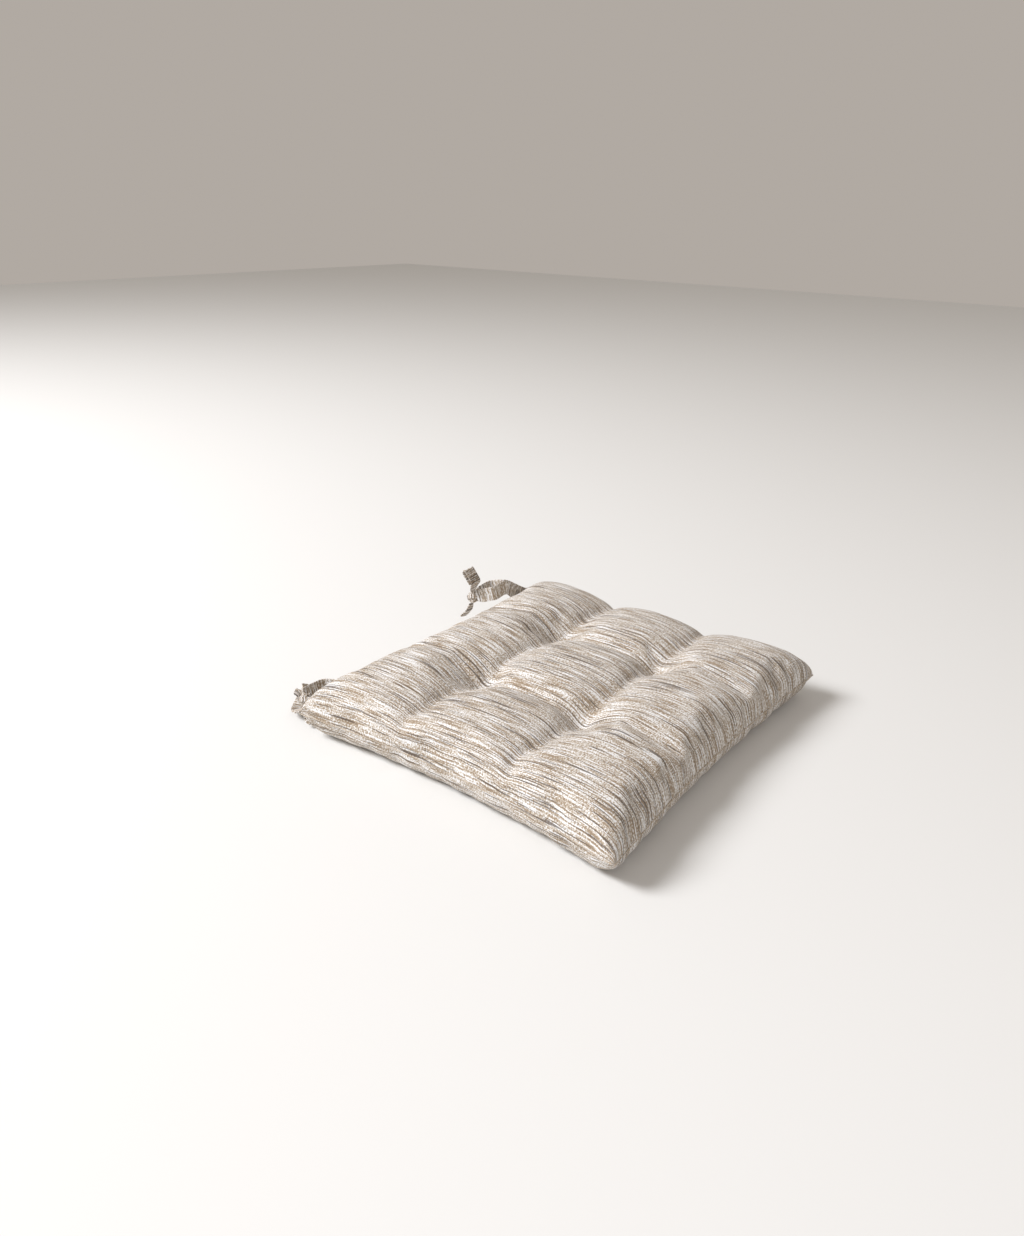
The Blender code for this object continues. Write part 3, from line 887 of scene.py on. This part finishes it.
RIGHT_ENDS = {
    "bow": (
        (-0.001, -0.002, KNOT_RADII.z + END_GAP),
        (
            (0, 0, 0),
            (-0.002, -0.004, 0.008),
            (-0.003, -0.007, 0.016),
            (-0.004, -0.001, 0.026),
            (-0.005, 0.0045, 0.0325),
            (-0.004, 0.007, 0.028),
            (-0.003, 0.003, 0.017),
            (-0.002, 0.002, 0.010),
        ),
    ),
    "end": (
        (-0.001, 0.002, -KNOT_RADII.z - END_GAP),
        ((0, 0, 0), (-0.001, 0.002, -0.007), (-0.002, 0.006, -0.013), (-0.004, 0.010, -0.018)),
    ),
}
NODE_OF_END = {"bow": "bow_loop", "end": "tail"}


def tie_root(side, step):
    """Where a tie leaves the rear seam: step is -0.5 for the inner tie of a pair and 0.5 for the outer."""
    x = side * (TIE_ROOT_X + step * TIE_ROOT_PITCH)
    _, y = in_plan(x + side * TIE_ROOT_SIDE, HALF_DEPTH)
    return Vector((x, y + TIE_ROOT_GAP, SEAM_HEIGHT))


class SEATPAD_OT_ties(bpy.types.Operator):
    """Run each tie from the rear seam round its post to the knot, with a bow loop and a tail"""

    bl_idname = "seat_pad.ties"
    bl_label = "Ties"

    def execute(self, context):
        sizes = context.scene.seat_pad_sizes
        cloth = material_named("slub_cotton_weave", slub_cotton_weave)
        for name, side, post, knot_place, ends in (
            ("left", -1, LEFT_POST, LEFT_KNOT, LEFT_ENDS),
            ("right", 1, RIGHT_POST, RIGHT_KNOT, RIGHT_ENDS),
        ):
            knot = at_post(post, *knot_place)
            beside = post_places(side)
            for number, (tie, step) in enumerate((("inner", -0.5), ("outer", 0.5))):
                root = tie_root(side, step)
                turn = root + Vector((0, ROOT_RUN + (step + 0.5) * ROOT_PASS, 0))
                points = [root, turn, turn + ROOT_TURN * Vector((-side, 1, 1))]
                points += [at_post(post, *beside[place]) for place in ROUTES[name, tie]]
                line = smooth_line([*points, knot])
                length = length_of(line)
                pinches = ((length, 0.45),)
                mesh = strip_mesh(
                    f"{name}_{tie}_strip", line, ACROSS, post_axis(), ROOT_RUN, pinches, sizes, number
                )
                strip = shown_object(mesh.name, mesh, cloth, f"{name}_tie")
                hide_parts(f"{name}_{tie}_tie")
            for end, (offset, places) in ends.items():
                start = knot + Vector(offset)
                line = smooth_line([knot.lerp(start, 0.9), *(start + Vector(p) for p in places)])
                length = length_of(line)
                pinches = ((0.0, 0.4), (length, 0.4)) if end == "bow" else ((0.0, 0.4),)
                mesh = strip_mesh(
                    f"{name}_{NODE_OF_END[end]}_strip", line, ACROSS, ACROSS, 0, pinches, sizes, 4
                )
                strip = shown_object(mesh.name, mesh, cloth, f"{name}_{end}")
                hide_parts(f"{name}_{NODE_OF_END[end]}")
        return {"FINISHED"}


class SEATPAD_OT_knots(bpy.types.Operator):
    """Tie the knots, each a strip of cloth wound over and under itself"""

    bl_idname = "seat_pad.knots"
    bl_label = "Knots"

    def execute(self, context):
        cloth = material_named("slub_cotton_weave", slub_cotton_weave)
        for name, post, knot_place in (
            ("left", LEFT_POST, LEFT_KNOT),
            ("right", RIGHT_POST, RIGHT_KNOT),
        ):
            knot = at_post(post, *knot_place)
            mesh = knot_mesh(f"{name}_knot_wraps", knot)
            obj = shown_object(mesh.name, mesh, cloth, f"{name}_tie")
            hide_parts(f"{name}_knot")
        return {"FINISHED"}


def knot_mesh(name, middle):
    """A trefoil of flattened, rounded cloth in the space that a knot takes."""
    bm = bmesh.new()
    uv_layer = bm.loops.layers.uv.new("cloth")
    count, around = 96, 14
    rings = []
    line = []
    for index in range(count):
        t = 2 * math.pi * index / count
        line.append(
            Vector(
                (
                    (math.sin(t) + 2 * math.sin(2 * t)) / 3 * KNOT_RADII.x * 0.62,
                    -math.sin(3 * t) * KNOT_RADII.y * 0.55,
                    (math.cos(t) - 2 * math.cos(2 * t)) / 3 * KNOT_RADII.z * 0.62,
                )
            )
        )
    for index, point in enumerate(line):
        along = (line[(index + 1) % count] - line[index - 1]).normalized()
        out = (point - along * point.dot(along)).normalized()
        width = along.cross(out)
        ring = []
        for step in range(around):
            angle = 2 * math.pi * step / around
            wide = KNOT_WRAP_WIDTH * math.cos(angle)
            thick = KNOT_WRAP_THICKNESS * math.sin(angle)
            crease = KNOT_CREASE * math.cos(5 * angle)
            ring.append(bm.verts.new(middle + point + width * wide + out * (thick + crease)))
        rings.append(ring)
    for index in range(count):
        ring, following = rings[index], rings[(index + 1) % count]
        for step in range(around):
            after = (step + 1) % around
            face = bm.faces.new((ring[step], ring[after], following[after], following[step]))
            places = (index, index, index + 1, index + 1)
            shares = (step, step + 1, step + 1, step)
            for loop, place, share in zip(face.loops, places, shares):
                loop[uv_layer].uv = (place * 0.0008, share * 0.0015)
    bmesh.ops.recalc_face_normals(bm, faces=bm.faces)
    mesh = bpy.data.meshes.new(name)
    bm.to_mesh(mesh)
    bm.free()
    return mesh


# ---------------------------------------------------------------- floor, light and camera

CAMERA_PLACE = Vector((-0.7937, -0.5188, 0.5487))
CAMERA_AZIMUTH, CAMERA_ELEVATION, CAMERA_ROLL = -52.707, 24.237, 1.0755  # degrees
CAMERA_LENS_MM = 26.912


def camera_turn():
    """The camera's rotation: it looks along its own -Z, with its own +Y up."""
    azimuth, elevation, roll = map(math.radians, (CAMERA_AZIMUTH, CAMERA_ELEVATION, CAMERA_ROLL))
    back = Vector(
        (
            math.sin(azimuth) * math.cos(elevation),
            -math.cos(azimuth) * math.cos(elevation),
            math.sin(elevation),
        )
    )
    right = Vector((0, 0, 1)).cross(back).normalized()
    up = back.cross(right)
    rolled_right = right * math.cos(roll) + up * math.sin(roll)
    rolled_up = up * math.cos(roll) - right * math.sin(roll)
    return Matrix((rolled_right, rolled_up, back)).transposed()


def add_area_light(name, place, target, size, power, colour):
    light = bpy.data.lights.new(name, "AREA")
    light.shape = "SQUARE"
    light.size = size
    light.energy = power
    light.color = linear(colour)[:3]
    obj = bpy.data.objects.new(name, light)
    obj.location = place
    obj.rotation_euler = (Vector(target) - Vector(place)).to_track_quat("-Z", "Y").to_euler()
    bpy.context.scene.collection.objects.link(obj)


class SEATPAD_OT_stage(bpy.types.Operator):
    """Set up the camera, the soft lights and the pale floor"""

    bl_idname = "seat_pad.stage"
    bl_label = "Stage"

    def execute(self, context):
        scene = context.scene
        camera = bpy.data.cameras.new("camera")
        camera.sensor_fit = "VERTICAL"
        camera.sensor_height = 36
        camera.lens = CAMERA_LENS_MM
        camera.clip_start = 0.01
        holder = bpy.data.objects.new("camera", camera)
        holder.matrix_world = Matrix.Translation(CAMERA_PLACE) @ camera_turn().to_4x4()
        scene.collection.objects.link(holder)
        scene.camera = holder

        bm = bmesh.new()
        bmesh.ops.create_grid(bm, x_segments=1, y_segments=1, size=6)
        mesh = bpy.data.meshes.new("floor")
        bm.to_mesh(mesh)
        bm.free()
        mesh.materials.append(material_named("painted_floor", painted_floor))
        floor = bpy.data.objects.new("floor", mesh)
        floor.location.z = -0.0004
        scene.collection.objects.link(floor)

        world = bpy.data.worlds.new("soft_room")
        world.use_nodes = True
        background = world.node_tree.nodes["Background"]
        background.inputs["Color"].default_value = linear("#FAF0E6")
        background.inputs["Strength"].default_value = 0.46
        scene.world = world
        scene.view_settings.view_transform = "Standard"  # so that the yarns' colours come out as given
        middle = (0, 0, 0.04)
        add_area_light("window", (-2.2, 2.6, 3.0), middle, 1.6, 240, "#FCFCFF")
        add_area_light("fill", (-1.2, -1.4, 1.1), middle, 1.6, 5, "#F4F6FF")
        return {"FINISHED"}


# ---------------------------------------------------------------- the add-on


class SEATPAD_PT_panel(bpy.types.Panel):
    """Lists the pieces of the seat pad"""

    bl_idname = "SEATPAD_PT_panel"
    bl_label = "Seat Pad"
    bl_space_type = "VIEW_3D"
    bl_region_type = "UI"
    bl_category = "Seat Pad"

    def draw(self, context):
        for group in (context.scene.seat_pad_sizes, context.scene.seat_pad_colours):
            for name in group.__annotations__:
                self.layout.prop(group, name)
        for operator in OPERATORS:
            self.layout.operator(operator.bl_idname)


OPERATORS = (
    SEATPAD_OT_stage,
    SEATPAD_OT_cover,
    SEATPAD_OT_filling,
    SEATPAD_OT_stitches,
    SEATPAD_OT_ties,
    SEATPAD_OT_knots,
)
CLASSES = (SeatPadSizes, SeatPadColours, *OPERATORS, SEATPAD_PT_panel)


def register():
    for each in CLASSES:
        bpy.utils.register_class(each)
    bpy.types.Scene.seat_pad_sizes = bpy.props.PointerProperty(type=SeatPadSizes)
    bpy.types.Scene.seat_pad_colours = bpy.props.PointerProperty(type=SeatPadColours)


def unregister():
    del bpy.types.Scene.seat_pad_colours
    del bpy.types.Scene.seat_pad_sizes
    for each in reversed(CLASSES):
        bpy.utils.unregister_class(each)


def main():
    register()
    for operator in OPERATORS:
        group, name = operator.bl_idname.split(".")
        getattr(getattr(bpy.ops, group), name)()


if __name__ == "__main__":
    main()
